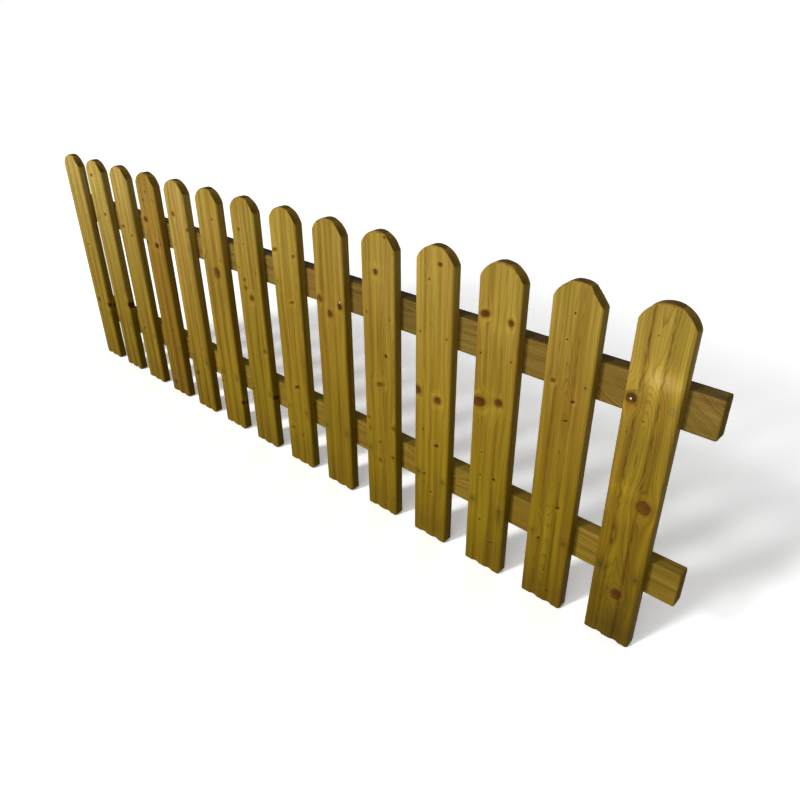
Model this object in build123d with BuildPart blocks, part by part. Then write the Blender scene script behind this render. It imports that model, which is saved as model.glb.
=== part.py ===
from build123d import *
from math import radians, sqrt, tan
import os

# A low garden fence panel: a row of round-topped pickets nailed to two rails.
# Sizes are in millimetres. +X runs along the rails, -Y is the side that the
# pickets face and +Z is up. The origin lies on the upper rail's back face, in
# the middle of the stretch that seats on the left post.

# Pickets
picket_count = 14
picket_width = 80
picket_thickness = 20
picket_height = 600
picket_pitch = 130
picket_arris = 3
foot_chamfer = 2
crown_rise = 28

# Two shallow hollows are moulded down the front of every picket.
groove_spacing = 30
groove_width = 16
groove_depth = 2.4

# One picket's crown is sawn flat on its right side, from a point beside the
# centre line and down at a slope in degrees.
flat_picket = 13
flat_start = 18
flat_slope = 50

# How far each picket was nailed from its even place along the rails.
nailing_shifts = (6, 2, 0, -1, -3, -3, -3, -1, -1, 0, 1, 2, 2, 1)

# Rails: each level is the height of a rail's middle above the pickets' feet.
rail_height = 65
rail_thickness = 28
rail_arris = 3
upper_rail_level = 451
lower_rail_level = 145
left_overhang = 40
right_overhang = 50

# Length of rail, from its end, that lies against a post.
post_seat = 40

row_length = (picket_count - 1) * picket_pitch + picket_width
rail_length = left_overhang + row_length + right_overhang
rail_start = -post_seat / 2
foot_level = -upper_rail_level
crown_radius = ((picket_width / 2) ** 2 + crown_rise**2) / (2 * crown_rise)


def picket_middle(number):
    """X of a picket's centre line; pickets are counted from 1 at the left."""
    first = rail_start + left_overhang + picket_width / 2
    shift = nailing_shifts[(number - 1) % len(nailing_shifts)]
    return first + (number - 1) * picket_pitch + shift


def picket_seat(number):
    """Plane of a picket's back, where it lies on the rails, seen from the front."""
    foot = (picket_middle(number), -rail_thickness, foot_level)
    return Plane(origin=foot, x_dir=(1, 0, 0), z_dir=(0, -1, 0))


def picket_face(number):
    """Plane across a picket's foot, from the middle of its front face."""
    face = -rail_thickness - picket_thickness
    return Plane(origin=(picket_middle(number), face, foot_level))


def crown_height(offset):
    """Height of the round top above the foot, at a distance from the centre line."""
    centre = picket_height - crown_radius
    return centre + sqrt(crown_radius**2 - offset**2)


# The picket seen from the front: square foot, straight sides, arched crown.
side = picket_width / 2
shoulder = picket_height - crown_rise
with BuildSketch() as picket_outline:
    with BuildLine():
        Polyline((-side, shoulder), (-side, 0), (side, 0), (side, shoulder))
        ThreePointArc((side, shoulder), (0, picket_height), (-side, shoulder))
    make_face()

# The waste that falls away where a crown is sawn flat.
flat_top = crown_height(flat_start)
flat_fall = (picket_width - flat_start) * tan(radians(flat_slope))
with BuildSketch() as flat_waste:
    with BuildLine():
        Polyline(
            (flat_start, flat_top),
            (picket_width, flat_top - flat_fall),
            (picket_width, picket_height),
            close=True,
        )
    make_face()

# The cutters for the two hollows, seen from above.
groove_radius = ((groove_width / 2) ** 2 + groove_depth**2) / (2 * groove_depth)
groove_centre = groove_depth - groove_radius
with BuildSketch() as groove_cutters:
    with Locations((-groove_spacing / 2, groove_centre), (groove_spacing / 2, groove_centre)):
        Circle(groove_radius)

os.makedirs("parts", exist_ok=True)

# Pickets: each is a planed board with its long arrises rounded, its foot
# chamfered and two hollows down its face.
for number in range(1, picket_count + 1):
    seat = picket_seat(number)
    with BuildPart() as picket:
        with BuildSketch(seat):
            add(picket_outline.sketch)
        extrude(amount=picket_thickness)
        if number == flat_picket:
            with BuildSketch(seat):
                add(flat_waste.sketch)
            extrude(amount=picket_thickness, mode=Mode.SUBTRACT)
        fillet(picket.edges().filter_by(Axis.Z), radius=picket_arris)
        chamfer(picket.edges().group_by(Axis.Z)[0], length=foot_chamfer)
        with BuildSketch(picket_face(number)):
            add(groove_cutters.sketch)
        extrude(amount=picket_height, mode=Mode.SUBTRACT)
    picket.part.label = f"picket_{number:02d}"
    export_step(picket.part, f"parts/{picket.part.label}.step")

# Rails: rectangular bars with eased corners, across the pickets' backs.
rail_levels = {"rail_upper": upper_rail_level, "rail_lower": lower_rail_level}
for name, level in rail_levels.items():
    middle = (rail_start, -rail_thickness / 2, foot_level + level)
    with BuildPart() as rail:
        with BuildSketch(Plane(origin=middle, x_dir=(0, 1, 0), z_dir=(1, 0, 0))):
            RectangleRounded(rail_thickness, rail_height, rail_arris)
        extrude(amount=rail_length)
    rail.part.label = name
    export_step(rail.part, f"parts/{name}.step")
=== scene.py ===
# %% [markdown]
# # A garden fence panel in treated pine
#
# A low picket fence panel: fourteen round-topped boards nailed across two
# rails. The solids come from the CAD model, which gives every size. Here each
# board is made again as a finer mesh of the same size, so that it can carry the
# wood's figure, its knots, worn edges and nails. All of it is code, so any
# board can be made longer, older or darker by changing a number.

from math import cos, radians, sin
from types import SimpleNamespace

import bpy
import numpy as np
from mathutils import Euler, Matrix, Vector


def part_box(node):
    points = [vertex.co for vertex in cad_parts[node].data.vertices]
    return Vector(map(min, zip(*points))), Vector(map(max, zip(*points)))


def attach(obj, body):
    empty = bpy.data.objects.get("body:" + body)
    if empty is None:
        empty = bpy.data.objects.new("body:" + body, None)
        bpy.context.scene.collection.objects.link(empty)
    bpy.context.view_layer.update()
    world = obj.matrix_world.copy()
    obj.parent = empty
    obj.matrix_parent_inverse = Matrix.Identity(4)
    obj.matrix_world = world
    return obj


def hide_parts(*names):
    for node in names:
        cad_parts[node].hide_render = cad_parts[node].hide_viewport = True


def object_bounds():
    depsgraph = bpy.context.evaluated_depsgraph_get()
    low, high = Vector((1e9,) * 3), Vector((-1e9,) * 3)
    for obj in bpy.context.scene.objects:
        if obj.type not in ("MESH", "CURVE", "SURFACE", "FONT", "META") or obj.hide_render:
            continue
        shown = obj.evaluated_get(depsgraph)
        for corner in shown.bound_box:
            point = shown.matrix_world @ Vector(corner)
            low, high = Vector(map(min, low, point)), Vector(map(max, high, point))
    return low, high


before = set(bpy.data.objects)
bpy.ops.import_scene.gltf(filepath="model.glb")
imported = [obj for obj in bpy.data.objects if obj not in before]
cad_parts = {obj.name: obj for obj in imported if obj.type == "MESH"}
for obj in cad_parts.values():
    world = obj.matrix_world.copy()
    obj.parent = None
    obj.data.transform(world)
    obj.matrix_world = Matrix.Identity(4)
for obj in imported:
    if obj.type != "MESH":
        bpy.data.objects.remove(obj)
cad_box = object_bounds()
picket_names = sorted(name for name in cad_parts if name.startswith("picket"))
rail_names = sorted(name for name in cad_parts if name.startswith("rail"))
print("pickets:", len(picket_names), "rails:", rail_names)

# %% [markdown]
# ## Working in millimetres
#
# A joiner measures in millimetres and Blender in metres. The boards are worked
# out in millimetres here, and one number turns them to metres at the end. Each
# board has its own three directions: across its face, into its thickness, and
# along its length from the foot (or from the left end, for a rail).

# %% Sizes
MM = 0.001
# Arrises: front left, front right, back left and back right. The planer's head
# was set a little askew, so the front right one is rounder and the one behind
# it sharper.
PICKET_ARRISES = (2.5, 5.0, 2.5, 1.2)
RAIL_ARRISES = (3.0, 3.0, 3.0, 3.0)
HOLLOW_PLACES = (-15.0, 15.0)
HOLLOW_WIDTH = 16.0
HOLLOW_DEPTH = 2.4
foot_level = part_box(picket_names[0])[0].z / MM
print("foot level:", round(foot_level, 1), "mm")


def node_box(name):
    """Lowest and highest corner of a CAD node, in millimetres."""
    low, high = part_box(name)
    return np.array(low) / MM, np.array(high) / MM


# %% [markdown]
# ## Drift: the slow unevenness of grown things
#
# Wood never repeats. A few long waves with random directions and phases, added
# up, give a smooth value that wanders about zero. The seed fixes the waves, so
# the same board comes out the same way every time.

# %% Drift
WAVES = 7


def drift(seed, length, *axes):
    """A smooth wandering value of about -1 to 1, with waves of about this length."""
    chance = np.random.default_rng(seed)
    total = 0.0
    for _ in range(WAVES):
        heading = chance.normal(size=len(axes))
        heading /= np.linalg.norm(heading)
        reach = sum(axis * way for axis, way in zip(axes, heading))
        turn = 2 * np.pi * chance.uniform(0.5, 1.5) / length
        total = total + np.sin(reach * turn + chance.uniform(0, 2 * np.pi))
    return total / np.sqrt(WAVES)


print("drift over a metre:", drift(1, 400, np.linspace(0, 1000, 5)).round(2))

# %% [markdown]
# ## The board as a lattice
#
# A sawn board has six faces that share their edges. It could be a box with
# loop cuts, but then the moulded hollows and the arched crown would need many
# edits by hand. Instead the board is a lattice of points, so many across, so
# many through the thickness and so many along, of which only the skin is kept.
# A board's own shape then comes from where the lattice's lines are placed.


# %% Lattice skin
def lattice_skin(shape):
    """Marks a lattice's outer points and joins them with four-sided faces."""
    number = np.full(shape, -1)
    outer = np.ones(shape, bool)
    outer[1:-1, 1:-1, 1:-1] = False
    number[outer] = np.arange(outer.sum())
    faces = []
    sides = (
        (number[0], False),
        (number[-1], True),
        (number[:, 0], True),
        (number[:, -1], False),
        (number[:, :, 0], False),
        (number[:, :, -1], True),
    )
    for side, forward in sides:
        corners = [side[:-1, :-1], side[1:, :-1], side[1:, 1:], side[:-1, 1:]]
        if not forward:
            corners.reverse()
        faces.append(np.stack(corners, -1).reshape(-1, 4))
    return outer, np.concatenate(faces)


print("faces on a lattice of 3 x 3 x 3 points:", len(lattice_skin((3, 3, 3))[1]))

# %% [markdown]
# ## The section of a board
#
# Pickets of this kind are run through a moulding planer: it rounds the long
# arrises and cuts two shallow hollows down the front, which catch the light as
# pairs of lines. The function gives places across the board, with the depth of
# the front and of the back at each, closer together where the section curves.

# %% Board section
ARRIS_LINES = 8


def rounded(across, width, left, right):
    """How far a face with two rounded arrises falls back at each place across it."""
    radius = np.where(across < 0, left, right)
    beyond = np.clip(np.abs(across) - width / 2 + radius, 0, radius)
    return radius - np.sqrt(radius**2 - beyond**2)


def board_section(width, thickness, arrises, hollows, spacing):
    """Places across a board, and its front's and back's depth at each of them."""
    edge = max(arrises)
    turn = np.radians(np.linspace(0, 90, ARRIS_LINES))
    corner = width / 2 - edge + edge * np.sin(turn)
    across = np.linspace(-corner[0], corner[0], int(2 * corner[0] / spacing) + 1)
    across = np.concatenate([-corner[::-1], across[1:-1], corner])
    front = rounded(across, width, *arrises[:2])
    back = thickness - rounded(across, width, *arrises[2:])
    for place in hollows:
        radius = ((HOLLOW_WIDTH / 2) ** 2 + HOLLOW_DEPTH**2) / (2 * HOLLOW_DEPTH)
        inside = np.clip(radius**2 - (across - place) ** 2, 0, None)
        front = np.maximum(front, np.sqrt(inside) - radius + HOLLOW_DEPTH)
    return across, front, back


print("lines across a picket:", len(board_section(80, 20, PICKET_ARRISES, HOLLOW_PLACES, 1.5)[0]))

# %% [markdown]
# ## Knots, where branches grew
#
# A knot is a branch cut across. Its grain runs round it like water round a
# stone, it is redder and darker than the board, and the wood above and below
# shines where the fibres turn towards the light. Each picket's knots are
# listed: place across, height above the foot, radius, how much wider
# than tall it is, and how dark it is from 0 to 1. Lengths are in millimetres.
# A knot that is clearly wider than tall leans up to the right, as its branch did.

# %% Knots of the pickets
KNOT_LEAN = radians(22)
PICKET_KNOTS = [
    [(-12, 544, 3, 1, 0.15), (-10, 512, 6, 0.5, 0.3), (-9, 350, 3, 3, 0.0), (-21, 178, 7, 1, 0.15),
     (39, 174, 8, 1, 0.9)],
    [(-17, 560, 4, 1, 0.5), (15, 461, 4.5, 1, 0.9), (46, 207, 9, 1, 0.9), (6, 57, 3, 1.5, 0.25)],
    [(-21, 445, 4, 1, 0.4), (15, 427, 3.5, 1, 0.9), (-15, 157, 4, 1.3, 0.5)],
    [(0, 555, 3, 1, 0.5), (-20, 533, 2.5, 1, 0.15), (27, 538, 2.5, 1, 0.15), (-23, 485, 7, 1, 0.5),
     (-33, 426, 6, 1, 0.15), (10, 424, 7, 1, 0.8), (31, 430, 4, 1, 0.25), (8, 193, 4, 1, 0.3),
     (-23, 28, 7, 1, 0.5), (37, 24, 5, 1, 0.15)],
    [(-15, 520, 6, 1, 0.15), (37, 491, 4, 1, 0.15), (29, 374, 1.5, 1, 0.25), (19, 180, 4, 1, 0.9),
     (-23, 99, 7, 1, 0.25)],
    [(7.5, 410, 12, 0.8, 0.2), (15, 534, 3, 1, 0.3), (-31, 118, 4, 1, 0.5), (42, 78, 6, 1, 0.9)],
    [(-6, 500, 2.5, 1, 0.25), (-17, 530, 3, 1, 0.15), (-17, 418, 4, 1, 0.15), (-16, 399, 5, 1, 0.15),
     (3, 380, 7, 1, 0.3), (29, 257, 5, 1.4, 0.15), (-17, 37, 2.5, 0.6, 0.15), (46, 140, 6, 1, 0.8)],
    [(-29, 510, 4, 1.6, 0.15), (29, 507, 3, 1.6, 0.2), (10, 405, 3, 2, 0.0), (4, 204, 4, 1.8, 0.9),
     (-23, 89, 4, 1.6, 0.25), (8, 80, 3, 1.4, 0.15)],
    [(-29, 437, 7, 1, 0.15), (-2, 412, 8, 1, 0.5), (28, 434, 7, 1, 0.9), (4, 47, 3, 1, 0.15)],
    [(17, 592, 3, 1, 0.25), (-5, 526, 6, 1, 0.5), (16, 366, 4, 1, 0.9), (0, 301, 5, 1.9, 0.15),
     (35, 214, 5, 1, 0.15), (-31, 216, 4, 1, 0.15), (-29, 191, 4, 1, 0.15), (-2, 168, 4, 1, 0.15),
     (-3, 124, 6, 1, 0.15), (33, 145, 4, 1, 0.15), (8, 12, 4, 1, 0.3)],
    [(11, 571, 3.4, 1.1, 0.6), (-12, 541, 2.5, 1, 0.3), (-35, 325, 9, 1, 0.5), (12, 318, 7, 1.15, 0.4),
     (-20, 245, 2.6, 0.7, 0.5), (12, 221, 3.2, 1.4, 0.9), (-17, 145, 2.5, 1.2, 0.9),
     (1, 110, 2.4, 1.3, 0.5), (-18, 125, 2.6, 1, 0.3)],
    [(-26, 511, 6.5, 1.3, 0.6), (23, 508, 6, 1, 0.5), (-28, 351, 9.8, 1.3, 0.6), (11, 362, 7.5, 1, 0.5),
     (-17, 252, 1.8, 0.8, 0.7), (-17, 204, 2, 1, 0.6), (12, 207, 2.8, 1.2, 0.9),
     (-12, 105, 3, 0.9, 0.9), (10, 63, 2.2, 1, 0.8), (16, 64, 2.4, 1, 0.7)],
    [(-1, 553, 1.6, 1, 0.9), (-9, 510, 1.6, 1, 0.9), (-25, 438, 3.6, 1.2, 0.5), (12, 413, 2, 1.6, 1),
     (6, 378, 1.8, 1.2, 0.9), (1, 376, 1.4, 1, 0.5), (10, 211, 2.4, 1.5, 0.9), (-9, 206, 1.8, 1, 0.9),
     (-17, 132, 2.5, 1.4, 0.9), (1, 70, 2.2, 1, 0.9), (10, 26, 3.8, 1, 0.6)],
    [(-29, 453, 9.5, 0.9, 0.6), (19, 283, 12.5, 0.95, 0.35), (4, 100, 11.5, 0.85, 0.65),
     (-27, 398, 1.2, 1, 0.9), (-6, 423, 1.2, 1.2, 0.8), (-8, 554, 1.2, 1, 0.7)],
]
print("knots on the pickets:", sum(len(knots) for knots in PICKET_KNOTS))

# %% [markdown]
# ## How each board was sawn
#
# The figure on a board's face is its growth rings cut open. Where the heart of
# the tree lay far to one side the lines run straight. Where it lay straight in
# front of the board's middle they open into tall arches. So each board is given
# the place of the tree's heart, across the face and in front of it, the ring
# width, and how fast the stem tapered. A board also has its own tone: how
# bleached, how warm, how strongly its rings show, and how much lighter it is.

# %% Board characters
PICKET_FIGURES = [
    # heart across, heart in front, ring width, taper, bleached, warm, ring strength, lighter
    (-60, 30, 3.0, 0.010, 0.40, 0.0, 0.45, 0.02),
    (60, 45, 3.5, 0.014, 0.44, 0.0, 0.45, 0.01),
    (50, 30, 3.0, 0.012, 0.30, 0.0, 0.45, 0.02),
    (-45, 35, 3.0, -0.012, 0.0, 0.55, 0.5, 0.0),
    (40, 50, 3.5, 0.014, 0.28, 0.1, 0.45, 0.03),
    (-30, 30, 3.5, 0.016, 0.03, 0.1, 0.5, 0.05),
    (-40, 30, 3.0, 0.014, 0.0, 0.0, 0.5, -0.03),
    (50, 30, 3.5, -0.012, 0.0, 0.05, 0.5, 0.05),
    (-45, 30, 3.0, 0.012, 0.0, 0.15, 0.5, -0.01),
    (45, 25, 3.0, 0.014, 0.03, 0.1, 0.5, 0.0),
    (-6, 10, 3.4, 0.014, 0.03, 0.0, 0.3, 0.08),
    (60, 30, 3.4, 0.010, 0.0, 0.05, 0.5, 0.03),
    (-3, 9, 3.2, 0.020, 0.0, 0.05, 0.6, -0.03),
    (-6, 9, 4.0, 0.035, 0.0, 0.05, 0.75, -0.06),
]
# Swells in the stem, which the saw opened into arches and eyes on three boards:
# place across, height, half width, half height, and how many rings it lifts.
PICKET_SWELLS = {
    14: [(2, 492, 20, 26, 1.6), (-38, 500, 26, 40, 1.8), (-12, 292, 18, 14, 1.0), (18, 215, 9, 70, -1.2)],
    13: [(1, 345, 9, 30, 0.8), (-6, 160, 9, 34, 0.8)],
    11: [(-6, 346, 9, 16, 0.9)],
}
# Patches: place across, height, half width, half height, glow, rust and grime.
# A glow below zero makes the wood darker. Above 0.2 a glow paints a pale sheen, as
# on the last board.
PICKET_PATCHES = {
    4: [(-21, 328, 8, 14, 0, 0.45, 0)],
    11: [(0, 25, 60, 40, -0.36, 0, 0), (0, 100, 60, 40, -0.18, 0, 0)],
    12: [(0, 490, 26, 14, 0.14, 0, 0), (-4, 335, 24, 14, 0.08, 0, 0), (28, 128, 7, 16, 0, 0, 0.35)],
    13: [(-26, 440, 8, 7, 0.12, 0.25, 0), (0, 15, 60, 45, -0.36, 0, 0), (0, 100, 60, 36, -0.1, 0, 0)],
    14: [(10, 492, 36, 20, 0.55, 0, 0), (-27, 436, 9, 9, 0, 0.7, 0), (-20, 300, 24, 12, 0.25, 0, 0),
         (2, 165, 14, 26, 0, 0, 0.3), (30, 152, 14, 22, 0, 0, 0.3), (-28, 150, 10, 16, 0, 0, 0.35),
         (16, 30, 40, 46, 0, 0, 0.5), (0, 100, 60, 36, -0.4, 0, 0), (0, 10, 60, 40, -0.3, 0, 0),
         (0, 385, 60, 30, -0.12, 0, 0), (0, 225, 60, 24, -0.1, 0, 0)],
}
# How dark the line down each hollow's left wall is: painted shade, as that wall
# faces away from the light. On the last board it is also a dark, jagged line in the wood.
HOLLOW_SHADE_AND_DIRT = {picket: 0.2 for picket in range(1, 15)} | {13: 0.3, 14: 0.7}
print("boards with patches of their own:", sorted(PICKET_PATCHES))

# %% [markdown]
# ## Nails
#
# Two nails hold each picket to each rail, near the board's two edges. They
# were driven by eye, so none sits exactly at its mark. The heads are round and
# almost flush. Most have dulled to a dark brown and left a bruise in the wood,
# and a few still show bright zinc.

# %% Nail places
NAIL_SIDES = (-29.5, 29.5)
NAIL_HEAD = 2.0
NAIL_LENGTH = 42.0
UPPER_NAILS = 443.0
LOWER_NAILS = 145.0
# The last picket's upper pair was driven this much higher.
LAST_PAIR_RAISED = 10
# How far a nail misses its mark.
NAIL_SCATTER = 0.8
# By picket and side: how bright the head of an upper nail still is.
BRIGHT_NAILS = {(14, 0): 0.9, (14, 1): 0.25, (13, 0): 0.15, (9, 1): 0.8}
nail_chance = np.random.default_rng(21)


def picket_nails(picket):
    """One picket's four nails: across, height, how far each stained, and its shine."""
    places = []
    for height in (UPPER_NAILS, LOWER_NAILS):
        upper = height == UPPER_NAILS
        raised = LAST_PAIR_RAISED if upper and picket == len(picket_names) else 0
        for number, side in enumerate(NAIL_SIDES):
            shift = nail_chance.normal(0, NAIL_SCATTER, 2)
            stain = nail_chance.uniform(0.15, 0.3) if upper else nail_chance.uniform(0.35, 0.6)
            bright = BRIGHT_NAILS.get((picket, number), 0) if upper else 0
            shine = max(bright, nail_chance.uniform(0, 0.02))
            places.append((side + shift[0], height + shift[1] + raised, stain, shine))
    return places


NAILS = [picket_nails(order + 1) for order in range(len(picket_names))]
print("nails:", sum(len(places) for places in NAILS))

# %% [markdown]
# ## Grain that flows round a knot
#
# The finish needs to know, at every point of a board, which way the grain runs
# and how near a knot is. This could be painted, but worked out with arithmetic
# it stays sharp at any size. A knot pushes the grain aside as a stone does a
# stream: far from it nothing moves, and beside it the lines crowd together.

# %% Grain and knots
# How near the edge a place starts to turn round it, down the board's side.
EDGE_BEND = 3
# The grain parts round a shape that is PARTING times as wide as the knot and
# PARTING / STREAM times as long. It moves PUSH of the way that would clear it.
PARTING, STREAM, PUSH = 1.25, 0.55, 0.9
# A branch slopes: how much lower its knot lies for each millimetre into the board.
BRANCH_SLOPE = 0.25
# How far beyond a knot, in millimetres, it may still be drawn, and how softly it ends.
KNOT_MARGIN, KNOT_FADE = 8, 4
# How bright the painted sheen on the turned fibres above and below a large knot is.
KNOT_SHINE = 0.16


def around(across, depth, width, thickness):
    """A place across the face that goes on round the edge, down the board's side."""
    under = np.minimum(depth, thickness - depth)
    bend = np.clip((np.abs(across) - width / 2 + EDGE_BEND) / EDGE_BEND, 0, 1)
    return across + np.sign(across) * under * bend


def round_knots(points, place, board):
    """Where the knots pushed the grain, each point's nearest knot, and the painted sheen beside it."""
    across, depth, along = points.T
    flowed = across.copy()
    nearest = np.full(len(points), np.inf)
    knot = np.zeros((len(points), 3))
    kind = np.zeros((len(points), 3))
    shine = np.zeros(len(points))
    for centre, height, radius, wide, dark in board["knots"]:
        lean = KNOT_LEAN if wide > 1.1 else 0.0
        beside, up = place - centre, along - height + BRANCH_SLOPE * depth
        aside = beside * cos(lean) + up * sin(lean)
        above = up * cos(lean) - beside * sin(lean)
        reach2 = (aside / (PARTING * wide)) ** 2 + (STREAM * above / PARTING) ** 2
        flowed -= PUSH * aside * radius**2 / np.maximum(reach2, radius**2)
        over = np.hypot(aside / wide, above)
        closer = over / radius < nearest
        nearest = np.where(closer, over / radius, nearest)
        room = np.clip((radius + KNOT_MARGIN - over) / KNOT_FADE, 0, 1)
        knot[closer] = np.stack([aside / wide / radius, above / radius, room], -1)[closer]
        kind[closer] = (radius / 10, dark, 0)
        # The painted sheen of the turned fibres lies 1.7 radii above and below the knot.
        turned = np.exp(-((aside / (2.2 * radius * wide)) ** 2))
        turned *= np.exp(-(((np.abs(above) - 1.7 * radius) / (1.1 * radius)) ** 2))
        shine += KNOT_SHINE * turned * min(1, radius / 7)
    return flowed, knot, kind, shine


side_place = around(np.array([40.0]), np.array([6.0]), 80, 20)
print("6 mm down an 80 mm board's side is the place:", side_place[0])

# %% [markdown]
# ## Growth rings
#
# A ring is a thin tube round the tree's heart, so a point's ring is its
# distance from the heart divided by the ring width. A real stem tapers, sways
# and swells, and each of these bends the lines that the saw laid bare. The
# whole number is the year, and what is left of it is the season.


# %% Growth rings
def ring_number(points, flowed, board):
    """How many growth rings lie between the tree's heart and each point."""
    across, depth, along = points.T
    heart_across, heart_front, ring_width, taper = board["figure"][:4]
    seed = board["seed"]
    # The heart wanders about 5 mm to either side and 6 mm to and fro.
    sway = 5 * drift(seed, 420, along)
    front = heart_front + 6 * drift(seed + 1, 300, along)
    # On a slanted board it also runs off sideways, after a bend some 25 mm long.
    start, slope = board["slant"]
    sway = sway + slope * (np.hypot(np.clip(along - start, 0, None), 25) - 25)
    radial = np.hypot(flowed - heart_across - sway, depth + front)
    radial = radial + taper * along
    radial = radial + board["waver"] * drift(seed + 2, 55, flowed, along / 5)
    for centre, height, half_width, half_height, lift in board["swells"]:
        bulge = ((across - centre) / half_width) ** 2 + ((along - height) / half_height) ** 2
        radial = radial + lift * ring_width * np.exp(-bulge)
    return radial / ring_width


# %% [markdown]
# ## Stains, dirt and painted shade
#
# Years outdoors mark the wood in places: nails bruise it where rain runs off
# them, resin turns to rust orange, and dirt lies in patches. Shade is painted on
# as well: on the tops of the crowns and of the rails, above all the upper rail,
# in a dark line down each hollow, which on the last board is also a jagged mark
# in the wood, and where the rails show between the pickets, along with some
# darker wood of their own.

# %% Stains
# How far from its right end a rail starts to change, and has changed for good.
RAIL_TURN = (200, 80)
# The crown falls away by the place across, squared and divided by this.
CROWN_FALL = 76


def towards_end(board, along, values):
    """A value for most of a board that changes to another at its far end."""
    start, end = RAIL_TURN
    return np.interp(along, (board["length"] - start, board["length"] - end), values)


def top_edge(across, board):
    """1 on a rail's top, where the lattice turns over its upper edge, and 0 on its face."""
    return np.clip((-across - board["width"] / 2 + 2.5) / 1.5, 0, 1)


def stains(points, place, board):
    """Glow and grime, both with painted shade, and rust at each point, and how much a nail has bruised it.
    """
    across, depth, along = points.T
    length, thickness, seed = board["length"], board["thickness"], board["seed"]
    front = depth < thickness / 2
    marks = np.zeros((len(points), 3))
    for centre, height, half_width, half_height, *amounts in board["patches"]:
        spread = ((place - centre) / half_width) ** 2 + ((along - height) / half_height) ** 2
        marks += np.exp(-spread)[:, None] * np.array(amounts)
    bruised = np.zeros(len(points))
    for side, height, stain, _ in board["nails"]:
        # A bruise is 0.75 times as wide as it is tall, and larger where it is darker.
        reach = np.hypot(place - side, (along - height) * 0.75) / (2.5 + 8 * stain)
        bruised += stain * np.exp(-(reach**2)) * front
    for hollow in board["hollows"]:
        # A hollow's dark line, painted shade and on the last board also a mark in the wood, is broken,
        # jagged and a little left of its middle.
        jagged = board["dirt"] * drift(seed + 3, 18, along) + 0.6 * drift(seed + 4, 90, along)
        line = hollow - 0.3 * HOLLOW_WIDTH + jagged
        broken = np.clip(0.6 + 0.6 * drift(seed + 25 + int(hollow), 35, along), 0.1, 1)
        marks[:, 0] -= board["dirt"] * broken * front * np.exp(-(((place - line) / board["dark_line_width"]) ** 2))
    # Painted shade darkens the middle of the crown's top.
    crown = along > length - 0.2 - across**2 / CROWN_FALL
    marks[:, 2] += board["crown_shade"] * crown * np.exp(-((across / 24) ** 4))
    # Painted shade darkens a rail's top, most towards its back edge.
    back_shade = np.interp(depth, (0, thickness - 6, thickness - 2), (0.75, 0.85, 1.4))
    marks[:, 2] += towards_end(board, along, board["top_shade"]) * top_edge(across, board) * back_shade
    return marks, bruised


# %% [markdown]
# ## All that the finish reads
#
# The values are stored on the mesh as named attributes that the material
# reads: one value for each point, blended in between.

# %% Wood attributes
# How much weaker the rings show on a rail's top, darkened with painted shade, than on its face.
TOP_DULLS = 0.8


def wood_attributes(points, end, board):
    """Everything that the finish reads, for points given across, in depth and along."""
    across, depth, along = points.T
    place = around(across, depth, board["width"], board["thickness"])
    flowed, knot, kind, shine = round_knots(points, place, board)
    marks, bruised = stains(points, place, board)
    lighter = board["figure"][7]
    # The glow takes the board's own lightness and the painted sheen beside its knots.
    marks[:, 0] += lighter + shine
    tone = np.tile(board["figure"][4:7], (len(points), 1))
    tone[:, 2] *= towards_end(board, along, board["bold"]) * (1 - TOP_DULLS * top_edge(across, board))
    return {
        "rings": ring_number(points, flowed, board),
        "grain": np.stack([flowed, depth, along], -1) * MM + board["offset"],
        "knot": knot,
        "knot_kind": kind,
        "marks": marks,
        "tone": tone,
        "bruised": bruised,
        "end": end,
    }


# %% [markdown]
# ## Making a board's mesh
#
# The lattice's lines along the board lie a few millimetres apart, and closer
# near a knot or nail, where the grain bends quickly. Near the sawn ends the
# last lines roll over the edge in a small uneven radius: a saw leaves a sharp
# edge, and handling and weather knock it back and chip it. A real picket's
# crown is cut across the grain, so its edge frays more than the arrises do.

# %% Lines along a board
# Spacing of the lines near a knot or nail, the closest they may come, and how
# far from the ends they stop.
FINE_STEP, CLOSEST, END_MARGIN = 2.0, 1.2, 4


def stations(length, step, places):
    """Places along a board, closer together near its knots and nails."""
    marks = [np.linspace(0, length, int(length / step) + 1)]
    for height, radius in places:
        reach = 1.4 * radius + 3
        marks.append(np.arange(height - reach, height + reach, FINE_STEP))
    marks = np.unique(np.concatenate(marks))
    marks = marks[(marks > END_MARGIN) & (marks < length - END_MARGIN)]
    kept = [marks[0]]
    for mark in marks[1:]:
        if mark - kept[-1] > CLOSEST:
            kept.append(mark)
    return np.array(kept)


print("lines along a board with one knot:", len(stations(600, 7.0, [(300, 5)])))

# %% Board mesh
DEPTH_LINES = 6
END_TURN = np.radians([0, 30, 60, 90])
# How much each line of the roll shows sawn wood: the worn edge shows little.
SAWN_SHARE = np.array([0.4, 0.5, 0.75, 1.0])
# How far from the top and from the foot the lines start to bend to its shape.
CROWN_BEND, FOOT_BEND = 45, 12
# How far from the crown its frayed edge starts.
FRINGE = 9
# An end is never worn less or more than this.
LEAST_WEAR, MOST_WEAR = 0.3, 4


def end_wear(board, place, share, line):
    """How far an end's edge is worn at each point: uneven, and chipped in places."""
    lines = line.shape[2]
    wear = np.where(line < lines / 2, board["wear"], board["crown_wear"])
    wear = wear * (1 + 0.15 * drift(board["seed"] + 5, 25, place, share * 20))
    chips = np.clip(drift(board["seed"] + 6, 9, place, share * 30, line * 3.0) - 0.9, 0, 1)
    return np.clip(wear + board["chips"] * chips, LEAST_WEAR, MOST_WEAR)


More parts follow.
